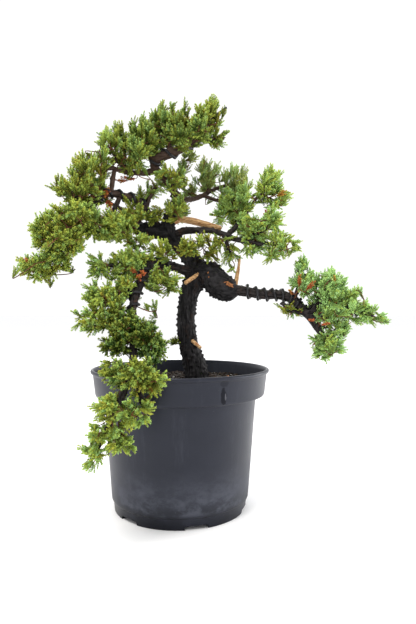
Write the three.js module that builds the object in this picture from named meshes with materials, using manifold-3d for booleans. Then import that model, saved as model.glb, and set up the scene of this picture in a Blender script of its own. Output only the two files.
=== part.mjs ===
// A juniper bonsai with a sharply bent trunk, wired branches and a cascading lower branch,
// growing in a round black nursery container.
// Millimetres, +Z up. The origin is on the surface the pot stands on, at the pot's axis.
// +X points to the tree's right and +Y away from its front.
import * as THREE from 'three';
import { mergeVertices } from 'three/addons/utils/BufferGeometryUtils.js';
import Module from 'manifold-3d';

const wasm = await Module();
wasm.setup();

// ---- Driving dimensions ----

// Pot: a 3-litre container, 190 across the rim
const POT_HEIGHT = 148;
const RIM_RADIUS = 95;
const LIP_WIDTH = 3;
const LIP_HEIGHT = 3.5;
const BAND_TOP_RADIUS = 92.5; // the wide band under the lip
const BAND_FOOT_RADIUS = 90;
const BAND_FOOT = 120.5;
const BODY_TOP_RADIUS = 81; // the body below the band
const BODY_FOOT_RADIUS = 73;
const BODY_FOOT = 16;
const BASE_RADIUS = 70;
const WALL = 1.8;
const FLOOR = 4.5; // height of the floor's underside
const FOOT_RING_WIDTH = 7;
const CENTRE_FOOT_RADIUS = 20;
const FOOT_SLOTS = 6;
const FIRST_SLOT = 46; // degrees from +X
const SLOT_WIDTH = 24;
const SLOT_HEIGHT = 4;
const DRAIN_HOLE_RADIUS = 4.5;
const DRAIN_HOLE_CIRCLE = 50;
const POT_SIDES = 32;

// Potting mix
const SOIL_EDGE = 134;
const SOIL_CROWN = 136;

// Clearances between neighbouring solids
const GAP = 0.4;
const POT_CLEARANCE = 3; // foliage hanging outside the pot

// Training wire
const WIRE_RADIUS = 1.4;
const WIRE_SIDES = 5;
const WIRE_STEPS = 7; // steps in one turn

// Stems
const TRUNK_SIDES = 8;
const BRANCH_SIDES = 6;
const LONG_LINE = 5; // a line of more rows than this gets two rings for each span

// A lobe's corners stand this much outside the ellipsoid that its faces follow
const LOBE_SWELL = 1.12;

// ---- Stems: each row is [x, y, z, radius] on the stem's centre line ----

const TRUNK_LINES = [
  // roots and bent trunk, ending in the thick cut-back knuckle
  [
    [20, 0, 98, 7], [19, 0, 122, 10.5], [18, 0, 136, 13], [15, 0, 153, 11.4], [10, 0, 168, 10.3],
    [7, 0, 183, 9.6], [6, 0, 200, 9.1], [8, 0, 220, 9.2], [12.5, 0, 236, 10.5], [20, -1, 248, 12.5],
    [30, -4, 249, 14.3], [38, -8, 240.5, 14.6], [45, -11, 234, 14.4], [51, -13, 230, 12.8], [57, -14, 226, 8],
  ],
  // upper trunk and leader
  [
    [22, 0, 250, 11], [14, 4, 263, 9.8], [7, 6, 271, 8.6], [0, 8, 279, 8], [-9, 7, 288, 8.4],
    [-14, 5, 297, 8], [-13, 4, 309, 6.6], [-8, 3, 320, 5.6], [-5, 2, 331, 5.2], [-9, 0, 342, 4.9],
    [-17, -3, 352, 4.8], [-25, -7, 360, 4.8],
  ],
  // shoulder that the left branch rises from
  [[-9, 7, 288, 8.2], [-24, 3, 296, 8.4], [-37, -2, 297, 7.8], [-48, -8, 296, 5.4]],
  // four surface roots
  [[18, 0, 130, 8], [34, -8, 124, 5.5], [52, -16, 114, 3]],
  [[18, 0, 128, 8], [30, 16, 120, 5], [44, 30, 108, 2.6]],
  [[18, 0, 130, 8], [2, 12, 123, 5], [-16, 24, 112, 2.8]],
  [[18, 0, 128, 8], [6, -16, 122, 5], [-6, -32, 110, 2.6]],
];

const CROWN_LINE = [
  [-23, -6, 357, 4.4], [-29, -10, 366, 4.6], [-20, -12, 372, 4.4], [-4, -13, 378, 3.9],
  [12, -14, 386, 3.4], [21, -13, 392, 3.2],
];
const LEFT_LINE = [
  [-26, 2, 302, 4.4], [-34, -6, 312, 3.9], [-40, -13, 321, 3.4], [-49, -20, 326, 3], [-61, -27, 328, 2.8],
  [-70, -32, 329, 2.7], [-80, -38, 324, 2.5], [-91, -43, 315, 2.3],
];
const LOWER_LEFT_LINE = [
  [16, -3, 249, 5.6], [3, -8, 253, 4], [-11, -16, 257, 3.5], [-24, -24, 261, 3.3], [-33, -33, 252, 3.2],
  [-37, -41, 238, 3.3], [-42, -52, 222, 3.2], [-43, -64, 205, 2.9],
];
const RIGHT_LINE = [
  [50, -13, 231, 6], [60, -14, 231, 4.6], [77, -15, 228, 4.1], [92, -14, 226, 3.9], [106, -14, 226, 3.9],
  [119, -16, 221, 4.1], [128, -20, 211, 4], [136, -24, 203, 3.7], [143, -28, 191, 3],
];

const BRANCHES = {
  crown_branch: [
    CROWN_LINE,
    [[21, -13, 392, 3.2], [27, -10, 402, 2.4], [30, -6, 415, 1.6]],
    [[21, -13, 392, 2.6], [31, -14, 389, 2.2], [41, -15, 391, 1.5]],
    [[-10, -13, 376, 3], [-13, -2, 390, 2.4], [-12, 8, 408, 1.6]],
    [[-28, -10, 366, 3.4], [-34, -14, 378, 2.4], [-34, -14, 396, 1.6]],
    [[-14, -12, 374, 2.8], [-12, 12, 388, 2.4], [-9, 42, 416, 1.6]],
  ],
  upper_left_branch: [
    [
      [-24, -7, 360, 3.8], [-37, -12, 355, 3.4], [-50, -17, 353, 3], [-62, -26, 362, 2.6],
      [-70, -32, 376, 1.7],
    ],
    [[-50, -17, 353, 2.8], [-74, -34, 355, 2.4], [-92, -44, 349, 2], [-101, -49, 338, 1.4]],
  ],
  left_branch: [
    [
      ...LEFT_LINE, [-100, -50, 302, 2.1], [-110, -56, 289, 1.9], [-123, -60, 270, 1.6],
      [-134, -60, 254, 1.2],
    ],
    [[-92, -43, 314, 2], [-100, -46, 322, 1.6], [-108, -48, 329, 1.3]],
    [[-108, -55, 291, 1.8], [-120, -58, 292, 1.5], [-131, -60, 288, 1.2]],
    [[-61, -27, 327, 1.7], [-66, -31, 312, 1.6], [-69, -35, 297, 1.3]],
    [[-69, -32, 329, 1.7], [-68, -32, 340, 1.6], [-66, -31, 352, 1.3]],
    [[-36, -9, 315, 2], [-41, -17, 314, 1.7], [-47, -23, 309, 1.3]],
    [[-37, -9, 317, 2], [-34, -10, 327, 1.7], [-26, -9, 340, 1.3]],
  ],
  lower_left_branch: [
    [
      ...LOWER_LEFT_LINE, [-40, -80, 187, 2.7], [-37, -99, 168, 2.4], [-38, -113, 150, 2.1],
      [-46, -120, 130, 1.8], [-54, -123, 112, 1.6], [-61, -124, 97, 1.3], [-67, -124, 87, 1],
    ],
    [[-40, -47, 229, 1.9], [-54, -54, 227, 1.9], [-69, -60, 221, 1.7], [-81, -68, 213, 1.3]],
    [[-32, -32, 253, 1.8], [-46, -36, 257, 1.7], [-60, -42, 255, 1.5], [-76, -49, 253, 1.2]],
    [[-22, -22, 261, 1.7], [-21, -26, 270, 1.4]],
    [[-35, -38, 244, 1.7], [-28, -37, 242, 1.5], [-19, -36, 242, 1.3]],
    [[-38, -110, 153, 1.9], [-30, -114, 143, 1.6], [-27, -117, 130, 1.3]],
  ],
  right_branch: [
    [...RIGHT_LINE, [150, -33, 180, 2.1], [154, -35, 173, 1.4]],
    [[120, -16, 221, 1.5], [124, -18, 232, 1.5], [131, -21, 246, 1.3]],
    [[135, -24, 204, 2.4], [146, -25, 218, 2], [156, -28, 231, 1.5]],
    [[138, -25, 200, 2.9], [155, -31, 207, 2.4], [175, -34, 211, 2], [196, -37, 204, 1.4]],
    [[131, -21, 208, 1.9], [146, -6, 216, 1.8], [161, 10, 221, 1.6], [176, 18, 221, 1.3]],
    [[132, -22, 206, 1.5], [121, -24, 207, 1.3], [107, -20, 217, 1.1]],
  ],
  mid_right_branch: [
    [
      [-10, 6, 287, 5], [-1, 3, 295, 4.2], [15, -1, 296, 3.3], [33, -5, 295, 2.9],
      [50, -10, 289, 2.8], [61, -13, 284, 2.5], [76, -10, 288, 2.2], [92, -10, 297, 1.6],
    ],
    [[62, -13, 284, 2.3], [80, -16, 280, 2], [103, -20, 279, 1.5]],
    [
      [50, -10, 289, 2.6], [62, 3, 302, 2.3], [74, 14, 320, 2], [88, 20, 341, 1.7],
      [101, 28, 355, 1.2],
    ],
    [[62, 3, 302, 2.3], [74, 28, 304, 1.9], [86, 54, 304, 1.4]],
    [[47, -10, 290, 2.1], [51, -11, 278, 1.7], [54, -12, 263, 1.2]],
    [[24, -3, 296, 2.3], [22, -14, 289, 1.9], [20, -21, 279, 1.4]],
  ],
  back_right_branch: [
    [
      [-6, 2, 333, 3.8], [3, 10, 332, 3.2], [10, 21, 334, 2.9], [20, 40, 341, 3], [31, 53, 350, 2.8],
      [44, 58, 357, 2.2], [62, 60, 362, 1.6],
    ],
    [[30, 52, 349, 2.2], [30, 64, 368, 1.6]],
    [[23, 44, 344, 2.5], [42, 42, 337, 2.2], [58, 33, 332, 1.9], [69, 24, 333, 1.4]],
    [[9, 20, 334, 2.3], [1, 34, 332, 1.9], [-7, 45, 328, 1.4]],
    [[4, 12, 332, 2.4], [-4, 21, 342, 2.1], [-12, 38, 353, 1.8], [-7, 52, 366, 1.5], [4, 53, 384, 1.2]],
  ],
  back_left_branch: [
    [[-20, 6, 296, 4.6], [-40, 26, 302, 3.8], [-62, 50, 308, 3], [-86, 69, 310, 2]],
    [[-38, 24, 301, 3], [-72, 20, 326, 2.4], [-104, 11, 341, 1.6]],
    [[-42, 28, 302, 2.8], [-84, 14, 298, 2.2], [-126, 1, 291, 1.5]],
  ],
  back_low_branch: [
    [[14, 4, 250, 5], [0, 14, 256, 3.9], [-25, 24, 259, 3], [-50, 30, 258, 1.9]],
  ],
};

// Bare dead wood: a long snag, a pruned stub, a dead twig on the knuckle and a torn chip
const DEAD_WOOD = {
  dead_snag: [
    [-14, 3, 302, 3.2], [-2, 4, 309, 3.6], [14, 6, 307, 3.6], [30, 8, 303, 3.6], [44, 9, 300, 2.2],
  ],
  pruned_stub: [[21, -12, 249, 2], [13, -17, 243, 1.9], [6, -20, 238, 1.8]],
  dead_twig: [[59, -10, 237, 2.4], [61, -9, 246, 1.7], [64, -7, 268, 0.9]],
  torn_chip: [[13, -8, 177, 1.8], [22, -14, 170, 1.5]],
};

// ---- Wires: each winds round a stretch of stem, then runs out straight to its cut end ----

const WIRES = {
  crown_wire: {
    around: CROWN_LINE.slice(1),
    turns: 3,
    phase: 0.96,
    tail: [[33, -18, 409], [49, -18, 422]],
  },
  left_wire: { around: LEFT_LINE.slice(2), turns: 5, phase: 0.28, tail: [] },
  lower_left_wire: { around: LOWER_LEFT_LINE.slice(2), turns: 6, phase: 0, tail: [] },
  right_wire: {
    around: [[69, -14, 230, 4.6], ...RIGHT_LINE.slice(2, 7)],
    turns: 7,
    phase: 0.68,
    tail: [],
  },
  right_tip_wire: {
    around: [[146, -28, 204, 3], [158, -32, 208, 2.7], [173, -34, 211, 2.4]],
    turns: 3,
    phase: 0.64,
    tail: [[180, -40, 204]],
  },
};

// ---- Foliage: each row is [x, y, z, rx, ry, rz], one rounded lobe of a pad of needles ----

const FOLIAGE = {
  crown_foliage: [
    [-4, -10, 407, 21, 34, 21], [3, -30, 387, 15, 20, 12], [-20, 10, 419, 15, 26, 18],
    [28, -15, 411, 17, 26, 21], [19, -35, 395, 14, 22, 14], [34, 0, 429, 10, 18, 13],
    [39, -15, 389, 14, 12, 8], [-36, -15, 392, 19, 32, 20], [-41, -35, 372, 15, 22, 14],
    [-31, 15, 414, 13, 20, 12],
  ],
  crown_back_foliage: [[-9, 48, 423, 30, 22, 19], [-34, 44, 404, 20, 20, 16]],
  upper_left_foliage: [
    [-64, -30, 382, 18, 26, 19], [-56, -20, 371, 17, 24, 18], [-76, -40, 371, 11, 18, 14],
    [-90, -45, 351, 18, 28, 18], [-80, -32, 358, 11, 18, 14], [-98, -50, 338, 14, 20, 14],
    [-105, -48, 329, 18, 26, 14], [-116, -50, 331, 9, 14, 12], [-90, -45, 327, 14, 20, 12],
  ],
  left_foliage: [
    [-68, -35, 295, 20, 30, 16], [-58, -25, 301, 13, 20, 14], [-80, -45, 287, 12, 20, 10],
    [-102, -60, 295, 23, 36, 19], [-92, -50, 303, 14, 24, 14], [-106, -65, 277, 19, 30, 15],
    [-126, -60, 284, 16, 32, 19], [-130, -55, 296, 10, 18, 11],
    [-44, -26, 283, 14, 14, 8],
    [-135, -60, 252, 18, 28, 13], [-117, -62, 260, 16, 26, 13], [-147, -58, 251, 10, 14, 8],
  ],
  left_back_foliage: [
    [-106, 12, 342, 26, 24, 18], [-128, 4, 292, 24, 22, 17], [-116, 8, 316, 18, 20, 16],
  ],
  inner_back_foliage: [[-87, 72, 310, 24, 26, 16], [-66, 60, 316, 14, 20, 14]],
  junction_foliage: [
    [-47, -22, 312, 14, 16, 12], [-28, -14, 310, 14, 12, 9], [-7, -10, 314, 12, 11, 10],
    [-1, -9, 322, 10, 11, 9],
  ],
  inner_left_foliage: [
    [-25, -9, 343, 10, 14, 10], [-37, -10, 334, 10, 12, 9], [-14, -17, 353, 13, 11, 10],
    [-7, -17, 340, 10, 10, 11], [0, -10, 355, 10, 10, 9],
  ],
  centre_back_foliage: [[-7, 45, 328, 17, 22, 13]],
  centre_back_upper_foliage: [
    [8, 50, 351, 13, 16, 11], [-20, 44, 361, 12, 18, 9], [-7, 55, 370, 11, 16, 13],
    [-4, 50, 359, 14, 16, 8], [3, 54, 383, 8, 11, 8], [12, 52, 394, 9, 12, 7],
  ],
  back_right_foliage: [
    [30, 70, 376, 16, 24, 21], [31, 62, 360, 15, 20, 12], [63, 60, 364, 20, 28, 22],
    [58, 55, 344, 16, 22, 14],
  ],
  right_upper_foliage: [
    [57, 26, 330, 19, 26, 18], [71, 18, 332, 12, 22, 20], [103, 30, 357, 13, 20, 19],
    [91, 20, 345, 13, 20, 15], [116, 25, 341, 11, 12, 7], [104, 24, 332, 14, 16, 8],
    [43, 15, 314, 9, 12, 9],
  ],
  mid_right_foliage: [
    [81, -5, 294, 18, 28, 17], [98, -10, 304, 15, 22, 14], [71, 2, 303, 11, 20, 13],
    [105, -20, 280, 14, 20, 15], [97, -20, 267, 9, 14, 11], [117, -25, 272, 10, 10, 5],
    [76, -14, 274, 12, 12, 8],
  ],
  mid_right_droop_foliage: [
    [52, -11, 277, 15, 10, 7], [54, -12, 264, 10, 10, 16], [39, -13, 283, 9, 10, 8],
  ],
  mid_right_back_foliage: [[86, 60, 304, 20, 24, 17], [70, 56, 312, 14, 18, 13]],
  right_foliage: [
    [134, -22, 239, 19, 24, 15], [128, -20, 252, 9, 14, 14], [155, -28, 230, 19, 30, 23],
    [160, -32, 208, 20, 30, 18], [184, -35, 209, 15, 22, 15], [202, -38, 199, 10, 12, 6],
    [178, -30, 224, 11, 18, 12], [154, -35, 179, 14, 22, 16], [142, -35, 169, 9, 12, 10],
    [170, -33, 192, 9, 14, 9], [153, -35, 166, 9, 10, 8],
  ],
  right_back_foliage: [[176, 20, 221, 23, 22, 19], [156, 22, 214, 16, 16, 14]],
  right_fringe_foliage: [[112, -19, 213, 12, 8, 5], [122, -21, 208, 11, 8, 5]],
  trunk_front_foliage: [[11, -25, 274, 12, 14, 12], [24, -22, 280, 12, 12, 9], [34, -14, 271, 9, 11, 12]],
  trunk_sprout_foliage: [[-6, -4, 176, 6, 4, 3.4]],
  left_base_foliage: [[-20, -28, 273, 12, 14, 12], [-8, -23, 267, 8, 10, 7]],
  lower_left_foliage: [
    [-49, -35, 258, 19, 26, 16], [-34, -30, 263, 11, 16, 8], [-62, -42, 252, 12, 18, 14],
    [-79, -50, 252, 11, 16, 12], [-67, -60, 219, 19, 28, 16], [-54, -48, 231, 14, 22, 14],
    [-80, -65, 224, 12, 18, 11], [-81, -74, 201, 16, 16, 13],
  ],
  lower_left_inner_foliage: [[-19, -35, 241, 14, 18, 15], [-6, -37, 234, 9, 12, 11]],
  lower_back_foliage: [[-53, 32, 258, 23, 24, 15], [-34, 36, 250, 16, 18, 12]],
  cascade_upper_foliage: [
    [-39, -85, 187, 24, 26, 18], [-22, -85, 176, 14, 20, 18], [-54, -80, 196, 15, 20, 13],
    [-52, -90, 177, 16, 18, 11],
  ],
  cascade_foliage: [
    [-34, -118, 152, 22, 20, 14], [-49, -115, 156, 14, 16, 12], [-25, -114, 148, 16, 18, 16],
    [-47, -122, 123, 19, 20, 14], [-28, -118, 124, 11, 14, 14], [-55, -125, 126, 13, 16, 12],
    [-56, -124, 102, 18, 16, 15], [-45, -121, 93, 9, 12, 10], [-68, -124, 85, 9, 12, 12],
  ],
};

// ---- Materials ----

const FINISHES = {
  pot: { color: 0x2e2f34, roughness: 0.55, metalness: 0 },
  soil: { color: 0x2a2119, roughness: 0.95, metalness: 0 },
  bark: { color: 0x2b2320, roughness: 0.9, metalness: 0 },
  dead_wood: { color: 0xc39a6b, roughness: 0.8, metalness: 0 },
  wire: { color: 0x26252a, roughness: 0.35, metalness: 0.7 },
  foliage: { color: 0x55702f, roughness: 0.8, metalness: 0 },
};

// ---- Solids and meshes ----

function solidOf(geometry) {
  geometry.deleteAttribute('normal');
  geometry.deleteAttribute('uv');
  const merged = mergeVertices(geometry);
  return new wasm.Manifold(
    new wasm.Mesh({
      numProp: 3,
      vertProperties: new Float32Array(merged.attributes.position.array),
      triVerts: new Uint32Array(merged.index.array),
    }),
  );
}

function geometryOf(solid) {
  const mesh = solid.getMesh();
  const geometry = new THREE.BufferGeometry();
  geometry.setAttribute('position', new THREE.BufferAttribute(mesh.vertProperties, 3));
  geometry.setIndex(new THREE.BufferAttribute(mesh.triVerts, 1));
  geometry.computeVertexNormals();
  return geometry;
}

// The biggest connected piece of a solid, without the offcuts a cut leaves.
function mainPiece(solid) {
  const pieces = solid.decompose();
  return pieces.reduce((best, piece) => (piece.volume() > best.volume() ? piece : best));
}

function union(solids) {
  return solids.reduce((sum, solid) => sum.add(solid));
}

// A closed round tube: centres and radii of its rings, with a low cone on each end.
function tube(centres, radii, normals, binormals, sides) {
  const positions = [];
  const indices = [];
  const last = centres.length - 1;
  for (let ring = 0; ring <= last; ring += 1) {
    for (let side = 0; side < sides; side += 1) {
      const angle = (2 * Math.PI * side) / sides;
      const point = centres[ring].clone();
      point.addScaledVector(normals[ring], radii[ring] * Math.cos(angle));
      point.addScaledVector(binormals[ring], radii[ring] * Math.sin(angle));
      positions.push(point.x, point.y, point.z);
    }
  }
  const tips = [
    centres[0].clone().addScaledVector(centres[0].clone().sub(centres[1]).normalize(), radii[0] / 2),
    centres[last].clone().addScaledVector(
      centres[last].clone().sub(centres[last - 1]).normalize(), radii[last] / 2,
    ),
  ];
  for (const tip of tips) positions.push(tip.x, tip.y, tip.z);
  const startTip = (last + 1) * sides;
  const endTip = startTip + 1;
  for (let side = 0; side < sides; side += 1) {
    const next = (side + 1) % sides;
    for (let ring = 0; ring < last; ring += 1) {
      const low = ring * sides;
      const high = low + sides;
      indices.push(low + side, low + next, high + next);
      indices.push(low + side, high + next, high + side);
    }
    indices.push(startTip, next, side);
    indices.push(endTip, last * sides + side, last * sides + next);
  }
  const geometry = new THREE.BufferGeometry();
  geometry.setAttribute('position', new THREE.Float32BufferAttribute(positions, 3));
  geometry.setIndex(indices);
  return geometry;
}

// A smooth curve through the rows of a line, and its radius at any share of its length.
function curveOf(line) {
  const points = line.map(([x, y, z]) => new THREE.Vector3(x, y, z));
  const curve = new THREE.CatmullRomCurve3(points, false, 'centripetal');
  const radiusAt = (share) => {
    const place = curve.getUtoTmapping(share) * (line.length - 1);
    const row = Math.min(Math.floor(place), line.length - 2);
    return THREE.MathUtils.lerp(line[row][3], line[row + 1][3], place - row);
  };
  return { curve, radiusAt };
}

function stem(line, grow = 0, sides = BRANCH_SIDES) {
  const { curve, radiusAt } = curveOf(line);
  const rings = (line.length - 1) * (line.length > LONG_LINE ? 2 : 1);
  const frames = curve.computeFrenetFrames(rings, false);
  const shares = Array.from({ length: rings + 1 }, (_, ring) => ring / rings);
  const centres = shares.map((share) => curve.getPointAt(share));
  const radii = shares.map((share) => radiusAt(share) + grow);
  return solidOf(tube(centres, radii, frames.normals, frames.binormals, sides));
}

// The points of a wire wound round a stretch of stem, clear of its bark.
function winding({ around, turns, phase }) {
  const { curve, radiusAt } = curveOf(around);
  const steps = turns * WIRE_STEPS;
  const frames = curve.computeFrenetFrames(steps, false);
  const reach = 1 / Math.cos(Math.PI / WIRE_STEPS);
  return Array.from({ length: steps + 1 }, (_, step) => {
    const share = step / steps;
    const angle = 2 * Math.PI * (step / WIRE_STEPS + phase);
    const radius = (radiusAt(share) + GAP + WIRE_RADIUS) * reach;
    const point = curve.getPointAt(share);
    point.addScaledVector(frames.normals[step], radius * Math.cos(angle));
    point.addScaledVector(frames.binormals[step], radius * Math.sin(angle));
    return point;
  });
}

function wire(route, grow = 0) {
  const tail = route.tail.map(([x, y, z]) => new THREE.Vector3(x, y, z));
  const points = [...winding(route), ...tail];
  const curve = new THREE.CatmullRomCurve3(points, false, 'centripetal');
  const rings = points.length - 1;
  const frames = curve.computeFrenetFrames(rings, false);
  const centres = points.map((_, ring) => curve.getPointAt(ring / rings));
  const radii = points.map(() => WIRE_RADIUS + grow);
  return solidOf(tube(centres, radii, frames.normals, frames.binormals, WIRE_SIDES));
}

// The room a wire needs: one thick sleeve over its turns, and the wire itself, grown.
function wireRoom(route) {
  return stem(route.around, 2 * (GAP + WIRE_RADIUS) + GAP).add(wire(route, GAP));
}

function lobe([x, y, z, rx, ry, rz], grow = 0) {
  const geometry = new THREE.DodecahedronGeometry(LOBE_SWELL);
  geometry.scale(rx + grow, ry + grow, rz + grow);
  geometry.translate(x, y, z);
  return solidOf(geometry);
}

function lathe(outline) {
  const points = outline.map(([radius, z]) => new THREE.Vector2(radius, z));
  const geometry = new THREE.LatheGeometry(points, POT_SIDES);
  geometry.rotateX(Math.PI / 2); // the lathe turns about Y: stand it up along Z
  return solidOf(geometry);
}

// ---- Pot and soil ----

function potShell() {
  return lathe([
    [0, 0], [CENTRE_FOOT_RADIUS, 0], [CENTRE_FOOT_RADIUS + 3, FLOOR],
    [BASE_RADIUS - FOOT_RING_WIDTH - 1, FLOOR], [BASE_RADIUS - FOOT_RING_WIDTH, 0], [BASE_RADIUS, 0],
    [BASE_RADIUS + 1, 11.5], [BODY_FOOT_RADIUS - 0.4, 12.5], [BODY_FOOT_RADIUS, BODY_FOOT],
    [BODY_TOP_RADIUS, BAND_FOOT - 1.5], [BAND_FOOT_RADIUS, BAND_FOOT],
    [BAND_TOP_RADIUS, POT_HEIGHT - LIP_HEIGHT], [RIM_RADIUS, POT_HEIGHT - LIP_HEIGHT + 0.8],
    [RIM_RADIUS, POT_HEIGHT - 0.8], [RIM_RADIUS - 0.8, POT_HEIGHT],
    [RIM_RADIUS - LIP_WIDTH, POT_HEIGHT], [BAND_TOP_RADIUS - WALL, POT_HEIGHT - LIP_HEIGHT],
    [BAND_FOOT_RADIUS - WALL, BAND_FOOT + WALL], [BODY_TOP_RADIUS - WALL, BAND_FOOT + 0.3],
    [BODY_FOOT_RADIUS - WALL, BODY_FOOT], [BASE_RADIUS - WALL - 1, FLOOR + WALL], [0, FLOOR + WALL],
  ]);
}

// One cut at a given angle round the pot's axis.
function aroundPot(geometry, angle) {
  return solidOf(geometry.rotateZ(angle));
}

function pot() {
  const cuts = [];
  for (let index = 0; index < FOOT_SLOTS; index += 1) {
    const angle = (2 * Math.PI * index) / FOOT_SLOTS + (Math.PI * FIRST_SLOT) / 180;
    const slot = new THREE.BoxGeometry(20, SLOT_WIDTH, SLOT_HEIGHT + 2);
    slot.translate(BASE_RADIUS - 3, 0, SLOT_HEIGHT / 2 - 1);
    cuts.push(aroundPot(slot, angle));
    const hole = new THREE.CylinderGeometry(DRAIN_HOLE_RADIUS, DRAIN_HOLE_RADIUS, 12, 10);
    hole.rotateX(Math.PI / 2);
    hole.translate(DRAIN_HOLE_CIRCLE, 0, FLOOR);
    cuts.push(aroundPot(hole, angle));
  }
  return potShell().subtract(union(cuts));
}

function soil() {
  const side = WALL + GAP;
  const shelf = BAND_FOOT + WALL + GAP;
  return lathe([
    [0, FLOOR + WALL + GAP], [BASE_RADIUS - side - 1.4, FLOOR + WALL + GAP],
    [BODY_FOOT_RADIUS - side - 0.2, BODY_FOOT], [BODY_TOP_RADIUS - side - 0.2, shelf],
    [BAND_FOOT_RADIUS - side, shelf + 0.3], [BAND_FOOT_RADIUS - side + 0.8, SOIL_EDGE],
    [40, SOIL_CROWN], [0, SOIL_CROWN],
  ]);
}

// The space the pot takes, for foliage that hangs past its side.
function potRoom() {
  return lathe([
    [0, -1], [BASE_RADIUS + POT_CLEARANCE, -1], [RIM_RADIUS + POT_CLEARANCE, POT_HEIGHT - 30],
    [RIM_RADIUS + POT_CLEARANCE, POT_HEIGHT + POT_CLEARANCE], [0, POT_HEIGHT + POT_CLEARANCE],
  ]);
}

// ---- Assembly ----

const group = new THREE.Group();
group.name = 'juniper_bonsai';

function place(name, solid, finish) {
  const mesh = new THREE.Mesh(geometryOf(solid), new THREE.MeshStandardMaterial(FINISHES[finish]));
  mesh.name = name;
  group.add(mesh);
}

const stems = (lines, grow, sides) => union(lines.map((line) => stem(line, grow, sides)));

place('pot', pot(), 'pot');
const trunkRoom = stems(TRUNK_LINES, GAP, TRUNK_SIDES);
place('trunk', stems(TRUNK_LINES, 0, TRUNK_SIDES), 'bark');
place('soil', mainPiece(soil().subtract(trunkRoom)), 'soil');

// Everything made of wood or wire that foliage has to leave room for
const rooms = [trunkRoom];
for (const [name, lines] of Object.entries(BRANCHES)) {
  place(name, mainPiece(stems(lines).subtract(union(rooms))), 'bark');
  rooms.push(stems(lines, GAP));
}
for (const [name, line] of Object.entries(DEAD_WOOD)) {
  place(name, mainPiece(stem(line).subtract(union(rooms))), 'dead_wood');
  rooms.push(stem(line, GAP));
}
for (const [name, route] of Object.entries(WIRES)) {
  place(name, wire(route), 'wire');
  rooms.push(wireRoom(route));
}

// Each pad of foliage is cut back from the wood, the wires, the pot and the pads before it.
let takenRoom = union([...rooms, potRoom()]);
for (const [name, lobes] of Object.entries(FOLIAGE)) {
  const whole = union(lobes.map((row) => lobe(row)));
  place(name, mainPiece(whole.subtract(takenRoom)), 'foliage');
  takenRoom = takenRoom.add(union(lobes.map((row) => lobe(row, GAP))));
}

export default group;
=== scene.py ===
import itertools
import math
from collections import namedtuple

import bmesh
import bpy
import numpy as np
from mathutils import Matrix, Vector
from mathutils.bvhtree import BVHTree


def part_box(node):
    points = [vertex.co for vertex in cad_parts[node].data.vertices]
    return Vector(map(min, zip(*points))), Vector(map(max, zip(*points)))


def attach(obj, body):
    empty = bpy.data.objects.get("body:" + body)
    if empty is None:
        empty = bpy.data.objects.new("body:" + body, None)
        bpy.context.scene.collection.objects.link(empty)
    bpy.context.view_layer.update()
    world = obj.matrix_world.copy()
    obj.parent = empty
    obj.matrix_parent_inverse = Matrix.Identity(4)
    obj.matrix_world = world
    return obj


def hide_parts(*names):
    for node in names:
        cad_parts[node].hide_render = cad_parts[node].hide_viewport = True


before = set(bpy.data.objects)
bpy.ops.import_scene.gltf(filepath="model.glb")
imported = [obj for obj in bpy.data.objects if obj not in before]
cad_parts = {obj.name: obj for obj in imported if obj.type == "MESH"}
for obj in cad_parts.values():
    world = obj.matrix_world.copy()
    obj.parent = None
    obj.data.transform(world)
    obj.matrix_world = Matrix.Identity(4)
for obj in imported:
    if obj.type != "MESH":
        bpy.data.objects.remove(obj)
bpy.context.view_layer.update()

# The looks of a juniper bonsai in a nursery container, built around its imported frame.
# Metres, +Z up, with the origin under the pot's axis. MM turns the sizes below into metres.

MM = 0.001
UP = np.array([0.0, 0.0, 1.0])

# ---- Meshes ----


def new_mesh(name, verts, faces):
    """A mesh from an array of vertices and one of triangles or quads."""
    mesh = bpy.data.meshes.new(name)
    sides = faces.shape[1]
    mesh.vertices.add(len(verts))
    mesh.vertices.foreach_set("co", np.asarray(verts, np.float32).ravel())
    mesh.loops.add(faces.size)
    mesh.loops.foreach_set("vertex_index", faces.astype(np.int32).ravel())
    mesh.polygons.add(len(faces))
    mesh.polygons.foreach_set("loop_start", np.arange(0, faces.size, sides, dtype=np.int32))
    mesh.update(calc_edges=True)
    mesh.validate()
    return mesh


def new_object(data):
    """An object in the scene for a mesh, a lamp's light or a camera."""
    thing = bpy.data.objects.new(data.name, data)
    bpy.context.scene.collection.objects.link(thing)
    return thing


def joined(name, shapes):
    """One mesh from pairs of vertices and faces."""
    firsts = np.cumsum([0] + [len(verts) for verts, _ in shapes])
    faces = [sides + first for (_, sides), first in zip(shapes, firsts)]
    return new_mesh(name, np.concatenate([verts for verts, _ in shapes]), np.concatenate(faces))


def smooth_shading(mesh, sharp_deg=180):
    """The mesh with smooth shading, and with edges over an angle left sharp."""
    mesh.polygons.foreach_set("use_smooth", np.ones(len(mesh.polygons), bool))
    if sharp_deg < 180:
        mesh.set_sharp_from_angle(angle=math.radians(sharp_deg))
    return mesh


def read_rows(items, key, width, kind=float):
    """A property of all of a mesh's vertices, edges, triangles or corners, a row for each."""
    values = np.empty(len(items) * width, kind)
    items.foreach_get(key, values)
    return values.reshape(-1, width)


def read_verts(mesh):
    return read_rows(mesh.vertices, "co", 3)


def read_normals(mesh):
    return read_rows(mesh.vertices, "normal", 3)


def read_edges(mesh):
    return read_rows(mesh.edges, "vertices", 2, np.int32)


def write_verts(mesh, verts):
    mesh.vertices.foreach_set("co", np.asarray(verts, np.float32).ravel())
    mesh.update()


def add_layer(mesh, name, values):
    mesh.attributes.new(name, "FLOAT", "POINT").data.foreach_set("value", values.astype(np.float32))


def mesh_from(shape, name):
    """A bmesh's mesh, with its faces turned outwards."""
    bmesh.ops.recalc_face_normals(shape, faces=shape.faces)
    mesh = bpy.data.meshes.new(name)
    shape.to_mesh(mesh)
    shape.free()
    return mesh


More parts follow.
